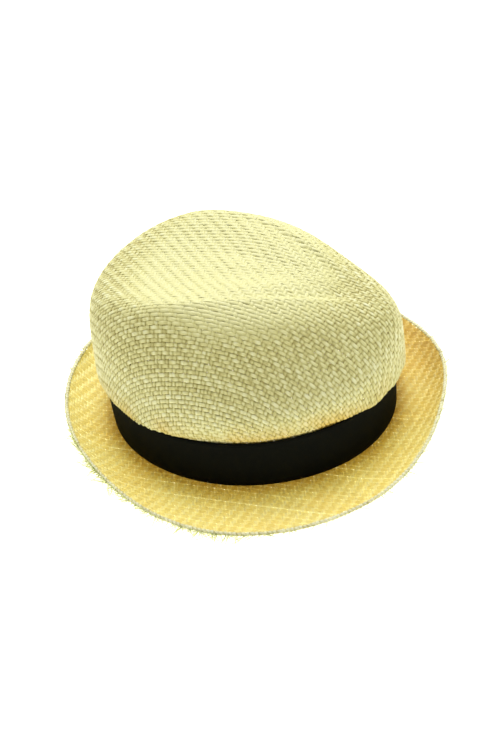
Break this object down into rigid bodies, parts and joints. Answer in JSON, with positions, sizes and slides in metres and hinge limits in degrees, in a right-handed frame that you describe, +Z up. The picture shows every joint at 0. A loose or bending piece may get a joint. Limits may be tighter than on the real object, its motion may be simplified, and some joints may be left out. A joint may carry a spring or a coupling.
{
  "type": "straw trilby hat",
  "caption": "Short-brimmed woven straw hat with a shallow teardrop dent in its crown, a rolled overcast brim edge and a plain black ribbon band.",
  "frame": {"origin": "middle of the hat's outline in plan, on the surface that it rests on", "axes": "+Z up, -Y towards the front of the hat, +X towards the wearer's left"},
  "size_m": [0.2594, 0.2656, 0.1256],
  "materials": {
    "crown_straw": "woven paper straw, satin",
    "brim_straw": "woven paper straw, satin",
    "edge_straw": "overcast straw cord, matte",
    "ribbon": "ribbed ribbon, low sheen"
  },
  "bodies": {
    "root": {"crown": "crown_straw", "brim": "brim_straw", "brim_edge": "edge_straw", "hat_band": "ribbon"}
  },
  "joints": []
}
